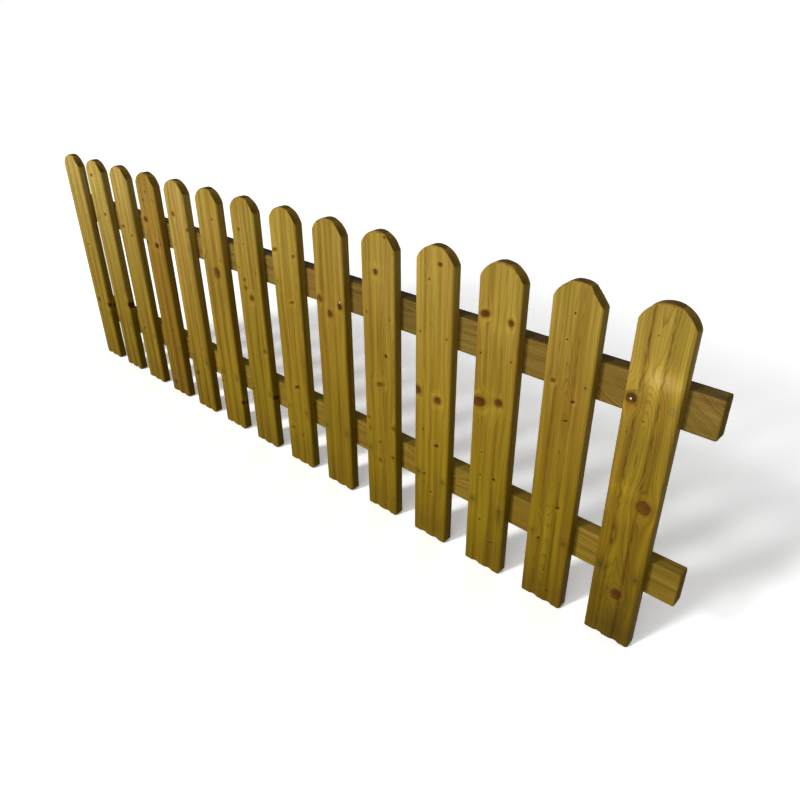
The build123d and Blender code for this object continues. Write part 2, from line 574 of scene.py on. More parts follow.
def bent_heights(board, along, wear, bottom, top):
    """Heights of the lattice's points, with the lines near the ends bent to fit them."""
    length = board["length"]
    rise = np.clip((along - length + CROWN_BEND) / (CROWN_BEND - END_MARGIN), 0, 1)
    sink = np.clip((FOOT_BEND - along) / (FOOT_BEND - END_MARGIN), 0, 1)
    bent = length - CROWN_BEND + rise * (top - wear - length + CROWN_BEND)
    height = np.where(rise > 0, bent, along)
    return np.where(sink > 0, FOOT_BEND - sink * (FOOT_BEND - bottom - wear), height)


def board_mesh(board, section, low_end, high_end):
    """A board's skin: its points across, in depth and along, its faces and its sawn ends."""
    across, front, back = section
    through = np.linspace(0, 1, DEPTH_LINES)
    count = len(END_TURN)
    middle = stations(board["length"], board["step"], board["busy"])
    along = np.concatenate([np.zeros(count), middle, np.zeros(count)])
    roll = np.concatenate([END_TURN[::-1], np.zeros(len(middle)), END_TURN])
    place, share, line = np.meshgrid(across, through, np.arange(len(along)), indexing="ij")
    wear = end_wear(board, place, share, line)
    inset = wear * (1 - np.cos(roll[line]))
    fall = wear * (1 - np.sin(roll[line]))
    bottom, top = low_end(place), high_end(place)
    height = bent_heights(board, along[line], wear, bottom, top)
    foot, crown = line < count, line >= len(along) - count
    height = np.where(foot, bottom + fall, height)
    height = np.where(crown, top - fall, height)
    front_line = np.interp(place, across, front) + inset
    back_line = np.interp(place, across, back) - inset
    depth = front_line + (back_line - front_line) * share
    place = place * (1 - inset / (board["width"] / 2))
    outer, faces = lattice_skin(place.shape)
    points = np.stack([place[outer], depth[outer], height[outer]], -1)
    end = board["fringe"] * np.clip(1 - (board["length"] - along[line]) / FRINGE, 0, 1)
    end = np.where(foot, (line < count - 1) * 1.0, end)
    end = np.where(crown, SAWN_SHARE[np.clip(line - len(along) + count, 0, None)], end)
    return points, faces.tolist(), end[outer]


# %% Objects
def as_object(name, points, faces, attributes):
    """A smooth-shaded mesh object from points in millimetres, with its attributes."""
    mesh = bpy.data.meshes.new(name)
    mesh.from_pydata((points * MM).tolist(), [], faces)
    mesh.polygons.foreach_set("use_smooth", np.ones(len(faces), bool))
    for key, values in attributes.items():
        flat = np.asarray(values, np.float32)
        if flat.ndim == 1:
            mesh.attributes.new(key, "FLOAT", "POINT").data.foreach_set("value", flat)
        else:
            mesh.attributes.new(key, "FLOAT_VECTOR", "POINT").data.foreach_set("vector", flat.ravel())
    mesh.validate()
    made = bpy.data.objects.new(name, mesh)
    bpy.context.scene.collection.objects.link(made)
    return made


# %% [markdown]
# ## Colours
#
# Colours are written as the hex values that a paint program shows. Blender
# mixes light in linear numbers, so one function turns one into the other.


# %% Colour
def linear(code):
    """A hex colour such as #A0833C as linear red, green, blue and alpha."""
    parts = [int(code[i : i + 2], 16) / 255 for i in (1, 3, 5)]
    return (*[p / 12.92 if p <= 0.04045 else ((p + 0.055) / 1.055) ** 2.4 for p in parts], 1.0)


print("#A0833C in linear light:", [round(part, 3) for part in linear("#A0833C")])

# %% [markdown]
# ## One helper for every node
#
# A material is a chain of small sums. The helper makes a node, sets it up,
# fills or links its inputs, and hands back one output for the next node, or
# all of them. A Mix node that mixes colours takes its amount at input 0 and
# the colours at inputs 6 and 7. A Map Range node takes a value at input 0, the
# range it is in at 1 and 2, and the range it is turned into at 3 and 4.

# %% Node helper
MATH, VECTOR = "ShaderNodeMath", "ShaderNodeVectorMath"
MIX, SPREAD, RAMP = "ShaderNodeMix", "ShaderNodeMapRange", "ShaderNodeValToRGB"
NOISE, PARTS = "ShaderNodeTexNoise", "ShaderNodeSeparateXYZ"
COLOURS = {"out": 2, "data_type": "RGBA"}
TINTS = {"out": 2, "data_type": "RGBA", "blend_type": "MULTIPLY"}


def add(tree, kind, inputs=None, out=0, stops=None, **settings):
    """Adds a node with its settings and links, and returns one output, or all for None."""
    node = tree.nodes.new(kind)
    for key, value in settings.items():
        setattr(node, key, value)
    for key, value in (inputs or {}).items():
        if isinstance(value, bpy.types.NodeSocket):
            tree.links.new(value, node.inputs[key])
        else:
            node.inputs[key].default_value = value
    if stops:
        ramp = node.color_ramp.elements
        while len(ramp) < len(stops):
            ramp.new(0.5)
        for element, (position, colour) in zip(ramp, stops):
            element.position = position
            element.color = colour if isinstance(colour, tuple) else (colour, colour, colour, 1)
    return node.outputs if out is None else node.outputs[out]


def new_material(name):
    """A material with an empty node tree."""
    material = bpy.data.materials.new(name)
    material.use_nodes = True
    material.node_tree.nodes.clear()
    return material, material.node_tree


# %% [markdown]
# ## What the pine is made of
#
# The boards are redwood pine, pressure treated with a copper salt. The
# material starts by reading the mesh's attributes and by making three noises,
# all stretched along the grain: fibres, broad streaks and clouds.

# %% Reading the wood
# How many of each to the metre, across the grain, into it and along it, and then
# how finely each one splits and how strongly. Fibres are bundles 3 mm wide that
# split into threads of 0.2 mm. Real pine fibres are 0.04 mm wide, too fine to
# show, so these are coarser. Streaks are 9 mm wide, and clouds 45 mm.
NOISES = (
    ("fibre", (340, 340, 6), 4.0, 0.62),
    ("broad", (110, 110, 3.2), 2.0, 0.5),
    ("cloud", (22, 22, 7), 3.0, 0.5),
)


def read_wood(tree):
    """The mesh's attributes and the noises of the grain, each as an output to link from."""
    wood = SimpleNamespace()
    for name in ("grain", "knot", "knot_kind", "marks", "tone"):
        setattr(wood, name, add(tree, "ShaderNodeAttribute", out="Vector", attribute_name=name))
    for name in ("rings", "end", "bruised"):
        setattr(wood, name, add(tree, "ShaderNodeAttribute", out="Fac", attribute_name=name))
    wood.place = add(tree, "ShaderNodeTexCoord", out="Object")
    wood.height = add(tree, PARTS, {0: wood.place}, out="Z")
    wood.bleached, wood.warm, wood.strength = add(tree, PARTS, {0: wood.tone}, out=None)
    wood.glow, wood.rust, wood.grime = add(tree, PARTS, {0: wood.marks}, out=None)
    wood.aside, wood.above, wood.near = add(tree, PARTS, {0: wood.knot}, out=None)
    wood.knot_size, wood.knot_dark, _ = add(tree, PARTS, {0: wood.knot_kind}, out=None)
    for name, scale, detail, rough in NOISES:
        stretched = add(tree, VECTOR, {0: wood.grain, 1: scale}, operation="MULTIPLY")
        noise = {"Vector": stretched, "Scale": 1.0, "Detail": detail, "Roughness": rough}
        setattr(wood, name, add(tree, NOISE, noise))
    return wood


# %% [markdown]
# ## Spring and summer growth
#
# Pine's rings are two tones, a wide pale band of spring growth and a thin
# brown line of summer growth, which ends sharply. Dry years leave a darker
# line than wet ones, so each ring gets its own strength by chance.


# %% Summer lines
def summer_lines(tree, wood, year_tones):
    """How much summer growth shows at each point, from 0 to 1."""
    wobble = add(tree, MATH, {0: wood.fibre, 1: 0.22, 2: wood.rings}, operation="MULTIPLY_ADD")
    wobble = add(tree, MATH, {0: wood.broad, 1: 0.5, 2: wobble}, operation="MULTIPLY_ADD")
    year = add(tree, MATH, {0: wobble}, operation="FLOOR")
    season = add(tree, MATH, {0: wobble}, operation="FRACT")
    late = add(tree, RAMP, {"Fac": season}, stops=year_tones)
    luck = add(tree, "ShaderNodeTexWhiteNoise", {"W": year}, noise_dimensions="1D")
    luck = add(tree, SPREAD, {0: luck, 1: 0.0, 2: 1.0, 3: 0.35, 4: 1.0})
    late = add(tree, MATH, {0: late, 1: luck}, operation="MULTIPLY")
    return add(tree, MATH, {0: late, 1: wood.strength}, operation="MULTIPLY")


# %% [markdown]
# ## Weather and painted shade
#
# New, the copper salt gives a yellow-green cast over golden sapwood. The colour
# runs from darker at the foot to paler at the top, which is partly painted shade,
# and on some boards it is bleached towards the top. Over that lie tints that
# multiply the colour, each in its own places: green clouds, the brown of some
# boards, resin in streaks, and the summer lines.


# %% Weathered colour and painted shade
def weathered(tree, wood, look, late):
    """The wood's colour from its darker foot to its paler top, partly painted shade, with its tints."""
    rise = add(tree, SPREAD, {0: wood.height, 1: cad_box[0].z, 2: cad_box[1].z})
    stops = [(position, linear(code)) for position, code in look["weather"]]
    # Darker at the foot, partly as painted shade.
    base = add(tree, RAMP, {"Fac": rise}, stops=stops)
    sunned = add(tree, MATH, {0: rise, 1: 2.5}, operation="POWER")
    sunned = add(tree, MATH, {0: sunned, 1: wood.bleached}, operation="MULTIPLY")
    base = add(tree, MIX, {0: sunned, 6: base, 7: linear("#D4B96C")}, **COLOURS)
    green = add(tree, SPREAD, {0: wood.cloud, 1: 0.35, 2: 0.65, 3: 0.0, 4: look["mottle"]})
    resin = add(tree, SPREAD, {0: wood.broad, 1: 0.32, 2: 0.52, 3: 0.55, 4: 0.0})
    tints = ((green, "#E6F5C8"), (wood.warm, "#EBD3CC"), (resin, "#F2DCC0"), (late, look["late"]))
    for amount, tint in tints:
        base = add(tree, MIX, {0: amount, 6: base, 7: linear(tint)}, **TINTS)
    return base


def streaks(tree, wood, strength):
    """How light each point is: streaks and glow change that, but not the hue."""
    light = add(tree, SPREAD, {0: wood.fibre, 1: 0.3, 2: 0.7, 3: 1 - strength, 4: 1 + strength})
    broad = add(tree, SPREAD, {0: wood.broad, 1: 0.3, 2: 0.7, 3: 0.84, 4: 1.18})
    light = add(tree, MATH, {0: light, 1: broad}, operation="MULTIPLY")
    # A glow above zero lightens: the board's own lightness and the painted sheen.
    shine = add(tree, MATH, {0: wood.glow, 1: 1.0}, operation="ADD")
    shine = add(tree, MATH, {0: shine, 1: 1.0}, operation="MAXIMUM")
    return add(tree, MATH, {0: light, 1: shine}, operation="MULTIPLY")


# %% [markdown]
# ## Knots in the finish
#
# A knot is the section of a branch: red-brown heartwood with rings of its own,
# lighter on the side where it leaned out, inside a dark outline and a paler
# rim. Its edge wavers, because the stem's fibres closed over it unevenly.

# %% Knot layers
# The edge wavers with about 420 bumps to the metre, one each 2.4 mm.
KNOT_EDGE = 420.0


def knot_layers(tree, wood):
    """Where a knot and its rim show, and the colour of each."""
    flat = add(tree, "ShaderNodeCombineXYZ", {0: wood.aside, 1: wood.above})
    away = add(tree, VECTOR, {0: flat}, out="Value", operation="LENGTH")
    edge = add(tree, NOISE, {"Vector": wood.place, "Scale": KNOT_EDGE, "Detail": 2.0})
    away = add(tree, MATH, {0: edge, 1: 0.5, 2: away}, operation="MULTIPLY_ADD")
    inside = add(tree, SPREAD, {0: away, 1: 0.9, 2: 1.5, 3: 1.0, 4: 0.0}, interpolation_type="SMOOTHSTEP")
    inside = add(tree, MATH, {0: inside, 1: wood.near}, operation="MULTIPLY")
    halo = add(tree, SPREAD, {0: away, 1: 1.2, 2: 2.2, 3: 0.5, 4: 0.0}, interpolation_type="SMOOTHSTEP")
    halo = add(tree, MATH, {0: halo, 1: wood.near}, operation="MULTIPLY")
    ripples = add(tree, MATH, {0: away, 1: 16.0}, operation="MULTIPLY")
    ripples = add(tree, MATH, {0: ripples}, operation="SINE")
    rim = add(tree, SPREAD, {0: ripples, 1: -1.0, 2: 1.0})
    rim = add(tree, MIX, {0: rim, 6: linear("#6A4410"), 7: linear("#96701F")}, **COLOURS)
    return inside, knot_heart(tree, wood, away, edge, ripples), halo, rim


def knot_heart(tree, wood, away, edge, ripples):
    """The colour inside a knot, with its blotches, its rings and its dark outline."""
    blotch = add(tree, SPREAD, {0: edge, 1: 0.35, 2: 0.65, 3: 0.72, 4: 1.3})
    blotch = add(tree, MATH, {0: ripples, 1: 0.08, 2: blotch}, operation="MULTIPLY_ADD")
    tilt = add(tree, MATH, {0: wood.aside, 1: wood.above}, operation="ADD")
    tilt = add(tree, SPREAD, {0: tilt, 1: -0.9, 2: 0.9, 3: 1.2, 4: 0.75})
    blotch = add(tree, MATH, {0: blotch, 1: tilt}, operation="MULTIPLY")
    large = add(tree, SPREAD, {0: wood.knot_size, 1: 0.4, 2: 0.8})
    heart = add(tree, MIX, {0: large, 6: linear("#784C06"), 7: linear("#6C4512")}, **COLOURS)
    heart = add(tree, MIX, {0: wood.knot_dark, 6: heart, 7: linear("#382204")}, **COLOURS)
    heart = add(tree, VECTOR, {0: heart, "Scale": blotch}, operation="SCALE")
    outline = add(tree, SPREAD, {0: away, 1: 0.95, 2: 1.2, 3: 0.0, 4: 0.9})
    core = add(tree, SPREAD, {0: away, 1: 0.25, 2: 0.6, 3: 0.4, 4: 0.0})
    outline = add(tree, MATH, {0: outline, 1: core}, operation="ADD")
    outline = add(tree, MATH, {0: outline, 1: wood.knot_size}, operation="MULTIPLY", use_clamp=True)
    return add(tree, MIX, {0: outline, 6: heart, 7: linear("#3A2004")}, **COLOURS)


# %% [markdown]
# ## Sawn ends and relief
#
# Sawn ends drink more of the treatment, so they are darker and duller. The
# summer lines stand up a little from the softer spring growth, knots stand up
# more, and a board that was never planed keeps the marks of the saw's teeth.


# %% Ends and relief
def sawn_ends(tree, wood, late, light):
    """Where the sawn ends show, fraying onto the face, and their colour."""
    fray = add(tree, SPREAD, {0: wood.broad, 1: 0.35, 2: 0.65, 3: -0.25, 4: 0.25})
    sawn = add(tree, MATH, {0: wood.end, 1: fray}, operation="ADD", use_clamp=True)
    sawn = add(tree, SPREAD, {0: sawn, 1: 0.35, 2: 0.65}, interpolation_type="SMOOTHSTEP")
    drunk = add(tree, MIX, {0: late, 6: linear("#806428"), 7: linear("#5A4414")}, **COLOURS)
    return sawn, add(tree, VECTOR, {0: drunk, "Scale": light}, operation="SCALE")


def raised_grain(tree, wood, look, late, inside):
    """The surface's small relief as a bumped normal."""
    relief = add(tree, MATH, {0: late, 1: 0.5, 2: wood.fibre}, operation="MULTIPLY_ADD")
    relief = add(tree, MATH, {0: inside, 1: 0.6, 2: relief}, operation="MULTIPLY_ADD")
    if look["saw"]:
        teeth = add(tree, VECTOR, {0: wood.place, 1: look["saw"]}, operation="MULTIPLY")
        teeth = add(tree, NOISE, {"Vector": teeth, "Scale": 1.0, "Detail": 3.0})
        relief = add(tree, MATH, {0: teeth, 1: 1.5, 2: relief}, operation="MULTIPLY_ADD")
    return add(tree, "ShaderNodeBump", {"Height": relief, "Distance": look["relief"], "Strength": 1.0})


# %% [markdown]
# ## Treated pine
#
# The finish is put together as it would be on the bench: the wood first, and
# then layer over layer what time has done to it, with painted shade and a painted
# sheen among the layers. Planed pine scatters light in a dull sheen, with an IOR
# near 1.5 and a roughness of 0.5 to 0.7. Outdoors the fibres swell and break that
# sheen up, so the specular level is low.

# %% Pine
# The treatment darkens all of the wood alike.
TREATED = 0.835
SHEEN = 0.06
# Sawn ends are this much rougher.
END_ROUGHNESS = 0.2


def treated_pine(name, look):
    """Treated pine: rings, fibres, weather, painted shade and sheen, knots, nail bruises and sawn ends."""
    material, tree = new_material(name)
    wood = read_wood(tree)
    late = summer_lines(tree, wood, look["year"])
    light = streaks(tree, wood, look["streak"])
    colour = weathered(tree, wood, look, late)
    colour = add(tree, VECTOR, {0: colour, "Scale": light}, operation="SCALE")
    inside, heart, halo, rim = knot_layers(tree, wood)
    sawn, end_wood = sawn_ends(tree, wood, late, light)
    # Below zero the glow darkens the wood, as painted shade in the hollows and where the rails show between
    # the pickets, and at some feet.
    darkened_and_shaded = add(tree, MATH, {0: wood.glow, 1: -1.0}, operation="MULTIPLY", use_clamp=True)
    # Above 0.2 the glow paints a pale sheen.
    shining = add(tree, SPREAD, {0: wood.glow, 1: 0.2, 2: 1.0, 3: 0.0, 4: 0.5})
    # Grime, with the painted shade on the crowns and on the rails' tops.
    smear_and_shade = add(tree, SPREAD, {0: wood.cloud, 1: 0.3, 2: 0.6, 3: 0.5, 4: 1.1})
    smear_and_shade = add(tree, MATH, {0: wood.grime, 1: smear_and_shade}, operation="MULTIPLY", use_clamp=True)
    # Each layer covers what is under it where its amount is above zero.
    layers = (
        (darkened_and_shaded, linear("#3E2C08")),
        (shining, linear("#CDBB90")),
        (halo, rim),
        (inside, heart),
        (sawn, end_wood),
        (wood.rust, linear("#95631C")),
        (wood.bruised, linear("#403512")),
        (smear_and_shade, linear("#32230A")),
    )
    for amount, layer in layers:
        colour = add(tree, MIX, {0: amount, 6: colour, 7: layer}, **COLOURS)
    colour = add(tree, VECTOR, {0: colour, "Scale": TREATED}, operation="SCALE")
    rough = add(tree, SPREAD, {0: wood.fibre, 1: 0.3, 2: 0.7, 3: look["rough"][0], 4: look["rough"][1]})
    rough = add(tree, MATH, {0: sawn, 1: END_ROUGHNESS, 2: rough}, operation="MULTIPLY_ADD", use_clamp=True)
    surface = add(tree, "ShaderNodeBsdfPrincipled",
                  {"Base Color": colour, "Roughness": rough, "IOR": 1.5, "Specular IOR Level": SHEEN,
                   "Normal": raised_grain(tree, wood, look, late, inside)})
    add(tree, "ShaderNodeOutputMaterial", {"Surface": surface}, out=None)
    return material


# Planed pine: the planer leaves the fibres lying flat, so it has a soft sheen.
planed_pine = treated_pine("planed_treated_pine", {
    "weather": ((0.05, "#735B08"), (0.17, "#7F670F"), (0.4, "#876C17"), (0.67, "#937626"),
                (0.9, "#A28638")),
    "year": ((0.0, 0.45), (0.05, 0.0), (0.68, 0.06), (0.87, 0.5), (0.96, 1.0), (1.0, 0.7)),
    "late": "#A88E5A",
    "mottle": 0.5,
    "streak": 0.18,
    "rough": (0.55, 0.7),
    "saw": None,
    "relief": 0.25 * MM,
})
# Sawn pine: torn fibres scatter the light, so it is duller, browner and rougher.
# The saw's teeth left scratches some 4 mm long and 1 mm tall.
sawn_pine = treated_pine("sawn_treated_pine", {
    "weather": ((0.2, "#8A7124"), (0.8, "#8E763A")),
    "year": ((0.0, 0.6), (0.12, 0.0), (0.4, 0.1), (0.7, 0.7), (0.9, 1.0), (1.0, 0.9)),
    "late": "#7E6640",
    "mottle": 0.6,
    "streak": 0.12,
    "rough": (0.7, 0.85),
    "saw": (260, 260, 900),
    "relief": 0.6 * MM,
})
print("materials:", planed_pine.name, sawn_pine.name)

# %% [markdown]
# ## The pickets
#
# Each picket reads its place and its crown from its own CAD node, so a crown
# that was sawn flat comes out flat here too. The foot's corners are knocked
# round, each by a different amount. The mesh then takes its node's place.

# %% Picket ends
# A picket's crown is looked for in this much of its height, from the top.
CROWN_HEIGHT = 100


def crown_line(name):
    """Across and height of a picket's crown, from its foot, read from its CAD node."""
    points = np.array([v.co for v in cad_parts[name].data.vertices]) / MM
    low, high = node_box(name)
    points = points - [(low[0] + high[0]) / 2, 0, low[2]]
    points = points[points[:, 2] > high[2] - low[2] - CROWN_HEIGHT]
    places = np.unique(np.round(points[:, 0], 2))
    heights = [points[np.abs(points[:, 0] - x) < 0.02, 2].max() for x in places]
    return places, np.array(heights)


def knocked_foot(seed, width):
    """Height of a foot across the board: flat, with its two corners rounded off."""
    chance = np.random.default_rng(seed)
    left, right = chance.uniform(2.0, 3.5), chance.uniform(3.0, 5.5)
    # The steep corner would magnify the small error in a width read from a mesh.
    width = round(float(width), 2)
    return lambda across: rounded(across, width, left, right)


# %% Build the pickets
# Spacing of the mesh's lines along and across. The last board is the one seen
# closest, so its mesh is finer.
PICKET_SPACING = (7.0, 1.5)
LAST_SPACING = (3.5, 1.0)
# Each board's grain starts this much further on in the noise, so no two match.
GRAIN_STEP = np.array([0.37, 0.11, 0.83])
# A hollow's dark line of painted shade is this share of the mesh's spacing, as fine as it can draw.
SHADE_AND_DIRT_LINE = 0.9
# In millimetres: how each picket's foot and crown are worn and chipped, and how
# far its rings waver. From 0 to 1: the painted shade on its crown, and how strongly
# its sawn end frays onto the face. Slant, top shade and boldness are for the rails,
# so here they change nothing.
PICKET_FINISH = {
    "wear": 0.9, "crown_wear": 2.8, "chips": 1.2, "crown_shade": 0.8, "fringe": 0.4, "waver": 0.5,
    "hollows": HOLLOW_PLACES, "slant": (0, 0), "top_shade": (0, 0), "bold": (1, 1),
}
for order, name in enumerate(picket_names):
    number = order + 1
    low, high = node_box(name)
    width, thickness, length = high - low
    step, spacing = LAST_SPACING if number == len(picket_names) else PICKET_SPACING
    # Lines lie closer near the knots and nails, and at the top end.
    busy = [(knot[1], knot[2]) for knot in PICKET_KNOTS[order]]
    busy += [(place[1], NAIL_HEAD) for place in NAILS[order]]
    busy.append((length - END_MARGIN, END_MARGIN))
    board = PICKET_FINISH | {
        "width": width, "thickness": thickness, "length": length,
        "seed": 100 + 10 * order, "offset": GRAIN_STEP * order,
        "step": step, "busy": busy, "knots": PICKET_KNOTS[order], "nails": NAILS[order],
        "figure": PICKET_FIGURES[order],
        "swells": PICKET_SWELLS.get(number, []),
        "patches": PICKET_PATCHES.get(number, []),
        "dirt": HOLLOW_SHADE_AND_DIRT[number], "dark_line_width": SHADE_AND_DIRT_LINE * spacing,
    }
    section = board_section(width, thickness, PICKET_ARRISES, HOLLOW_PLACES, spacing)
    places, heights = crown_line(name)
    points, faces, end = board_mesh(
        board, section, knocked_foot(board["seed"], width),
        lambda across: np.interp(across, places, heights))
    middle = (low[0] + high[0]) / 2
    attributes = wood_attributes(points, end, board)
    picket = as_object("board_" + name, points + [middle, low[1], low[2]], faces, attributes)
    picket.data.materials.append(planed_pine)
    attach(picket, "root")
    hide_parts(name)
print("the last picket:", len(points), "points,", 2 * len(faces), "triangles")

# %% [markdown]
# ## The rails
#
# The rails are sawn, not planed, from heavier stock. They lie on their side,
# so "along" runs from left to right and "across" runs from the top edge down.
# The heart of the tree slanted past the upper rail's right end, so the lines
# slant there too.

# %% Rail characters
RAIL_KNOTS = {
    "rail_upper": [(-6, 330, 6, 1, 0.5), (10, 860, 5, 1, 0.5), (-12, 1250, 7, 1, 0.5),
                   (8, 1640, 9, 1, 0.5)],
    "rail_lower": [(8, 210, 5, 1, 0.6), (-4, 730, 7, 1, 0.5), (12, 1120, 4, 1, 0.7),
                   (-10, 1510, 6, 1, 0.5)],
}
RAIL_FIGURES = {
    "rail_upper": (-14, 14, 3.8, 0.006, 0.0, 0.25, 0.8, 0.0),
    "rail_lower": (-30, 40, 4.0, 0.004, 0.0, 0.1, 0.4, 0.0),
}
RAIL_SWELLS = {
    "rail_upper": [(42, 1785, 50, 55, -6.0), (0, 1500, 30, 90, 1.5), (-6, 1828, 12, 9, 0.9),
                   (14, 1842, 10, 8, -0.8), (20, 1820, 9, 10, 0.8), (-20, 1850, 10, 7, 0.6),
                   (0, 1700, 10, 12, 0.7), (15, 1722, 9, 9, -0.7)],
    "rail_lower": [(0, 1500, 30, 120, 1.2), (5, 900, 30, 140, 1.6)],
}
# From a place along the rail on, the heart of the tree runs down across it.
RAIL_SLANTS = {"rail_upper": (1630, 0.75), "rail_lower": (0, 0)}
# The upper rail's top is painted nearly black as shade and the lower rail's top a
# little darker, and the upper rail's rings are bold only at its right end. Each
# pair gives a value for most of the rail and one for that end.
RAIL_TOP_SHADE = {"rail_upper": (1.0, 0.95), "rail_lower": (0.3, 0.3)}
RAIL_BOLDNESS = {"rail_upper": (0.5, 1.3), "rail_lower": (1, 1)}
# A glow below zero darkens a rail where it shows between the pickets: painted shade, along with some darker
# wood of its own.
RAIL_PATCHES = {
    "rail_upper": [(0, 795, 80, 40, -0.12, 0, 0), (0, 1055, 80, 40, -0.05, 0.25, 0),
                   (0, 1250, 80, 130, -0.4, 0, 0.1), (0, 1620, 80, 120, -0.24, 0.15, 0),
                   (0, 1850, 60, 60, 0.06, 0, 0)],
    "rail_lower": [(0, 405, 80, 40, -0.2, 0.2, 0), (0, 665, 80, 40, 0.25, 0, 0),
                   (0, 1200, 80, 160, -0.1, 0.1, 0.05), (0, 1570, 80, 50, -0.3, 0.2, 0),
                   (0, 1835, 80, 40, -0.12, 0, 0)],
}
print("knots on the rails:", sum(len(knots) for knots in RAIL_KNOTS.values()))

# %% Build the rails
RAIL_SPACING = (6.0, 2.0)
RAIL_GRAIN_STEP = np.array([5.1, 2.3, 7.7])
RAIL_FINISH = {
    "wear": 2.6, "crown_wear": 3.0, "chips": 0.8, "crown_shade": 0.0, "fringe": 0.0, "waver": 1.2,
    "hollows": (), "nails": [],
}
for order, name in enumerate(rail_names):
    low, high = node_box(name)
    length, thickness, width = high - low
    step, spacing = RAIL_SPACING
    board = RAIL_FINISH | {
        "width": width, "thickness": thickness, "length": length,
        "seed": 900 + 10 * order, "offset": RAIL_GRAIN_STEP * (order + 1),
        "step": step, "busy": [(knot[1], knot[2]) for knot in RAIL_KNOTS[name]],
        "knots": RAIL_KNOTS[name],
        "figure": RAIL_FIGURES[name],
        "swells": RAIL_SWELLS[name],
        "patches": RAIL_PATCHES[name],
        "slant": RAIL_SLANTS[name], "top_shade": RAIL_TOP_SHADE[name], "bold": RAIL_BOLDNESS[name],
    }
    section = board_section(width, thickness, RAIL_ARRISES, (), spacing)
    points, faces, end = board_mesh(
        board, section, lambda across: 0 * across, lambda across: 0 * across + length)
    across, depth, along = points.T
    middle = (low[2] + high[2]) / 2
    lying = np.stack([low[0] + along, low[1] + depth, middle - across], -1)
    rail = as_object("board_" + name, lying, faces, wood_attributes(points, end, board))
    rail.data.materials.append(sawn_pine)
    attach(rail, "root")
    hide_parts(name)
    print(name, len(points), "points,", 2 * len(faces), "triangles")

# %% [markdown]
# ## Weathered zinc
#
# The nails are galvanised wire nails. Zinc is a metal with a dull, crystalline
# grey surface, but on most heads it is under dirt and oxide by now, so only a
# clean one is metallic.

# %% Zinc
# Zinc crystals are 1 to 2 mm across on a small nail head, and dirt lies in
# patches of about 17 mm.
CRYSTALS, DIRT_PATCHES = 700.0, 60.0
zinc, tree = new_material("weathered_zinc")
place = add(tree, "ShaderNodeTexCoord", out="Object")
crystals = add(tree, "ShaderNodeTexVoronoi", {"Vector": place, "Scale": CRYSTALS}, out="Color")
patch = add(tree, NOISE, {"Vector": place, "Scale": DIRT_PATCHES, "Detail": 2.0})
clean = add(tree, "ShaderNodeAttribute", out="Fac", attribute_name="shine")
dirty = add(tree, RAMP, {"Fac": patch}, stops=((0.35, linear("#1F1501")), (0.65, linear("#342506"))))
bright = add(tree, MIX, {0: 0.15, 6: linear("#D9D6CE"), 7: crystals}, out=2,
             data_type="RGBA", blend_type="OVERLAY")
colour = add(tree, MIX, {0: clean, 6: dirty, 7: bright}, **COLOURS)
dull = add(tree, SPREAD, {0: patch, 1: 0.3, 2: 0.7, 3: 0.65, 4: 0.4})
metallic = add(tree, MATH, {0: clean, 1: 0.5}, operation="MULTIPLY")
dents = add(tree, "ShaderNodeBump", {"Height": patch, "Distance": 0.3 * MM})
metal = add(tree, "ShaderNodeBsdfPrincipled",
            {"Base Color": colour, "Metallic": metallic, "Specular IOR Level": 0.03,
             "Roughness": dull, "Normal": dents})
add(tree, "ShaderNodeOutputMaterial", {"Surface": metal}, out=None)
print("material:", zinc.name)

# %% [markdown]
# ## The nails
#
# A wire nail has a flat head with a slightly domed top, a round shank and a
# point. Most of it is inside the wood and only the head shows. It is lathed: a
# profile of radius and depth is turned round the nail's axis.

# %% Drive the nails
# Radius, as a share of the head's, and depth in millimetres.
NAIL_PROFILE = ((0, -0.35), (0.6, -0.33), (0.88, -0.2), (1.0, 0.1), (0.97, 0.7), (0.5, 0.95), (0.43, 2.0))
NAIL_TURNS = 20
# The length of the nail's point, and of its blunter tip.
POINT_LENGTH, BLUNT = 4, 1.5
# How deep the nail is set, so that its domed head stands 0.1 mm proud.
SUNK = 0.25


def nail(head_radius, length):
    """Points and faces of one nail, driven along its own y axis from the origin."""
    profile = [(share * head_radius, deep) for share, deep in NAIL_PROFILE]
    shank = profile[-1][0]
    profile += [(shank, length - POINT_LENGTH), (shank * 0.45, length - BLUNT), (0, length)]
    angles = np.linspace(0, 2 * np.pi, NAIL_TURNS, endpoint=False)
    points = [(0, profile[0][1], 0)]
    for radius, deep in profile[1:-1]:
        points += [(radius * np.cos(angle), deep, radius * np.sin(angle)) for angle in angles]
    points.append((0, profile[-1][1], 0))
    faces = []
    last = 1 + (len(profile) - 3) * NAIL_TURNS
    for turn in range(NAIL_TURNS):
        after = (turn + 1) % NAIL_TURNS
        faces.append((0, 1 + turn, 1 + after))
        for start in range(1, last, NAIL_TURNS):
            faces.append((start + turn, start + NAIL_TURNS + turn,
                          start + NAIL_TURNS + after, start + after))
        faces.append((last + turn, len(points) - 1, last + after))
    return np.array(points), faces


nail_points, nail_faces = nail(NAIL_HEAD, NAIL_LENGTH)
# The first two of a picket's four nails are in the upper rail.
for label, row in (("nails_lower", slice(2, 4)), ("nails_upper", slice(0, 2))):
    points, faces, shines = [], [], []
    for order, name in enumerate(picket_names):
        low, high = node_box(name)
        for side, height, _, shine in NAILS[order][row]:
            base = len(points) * len(nail_points)
            points.append(nail_points + [(low[0] + high[0]) / 2 + side, low[1] + SUNK, low[2] + height])
            faces += [tuple(base + corner for corner in face) for face in nail_faces]
            shines += [shine] * len(nail_points)
    nails = as_object(label, np.concatenate(points), faces, {"shine": shines})
    nails.data.materials.append(zinc)
    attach(nails, "root")
    print(label, len(points), "nails")

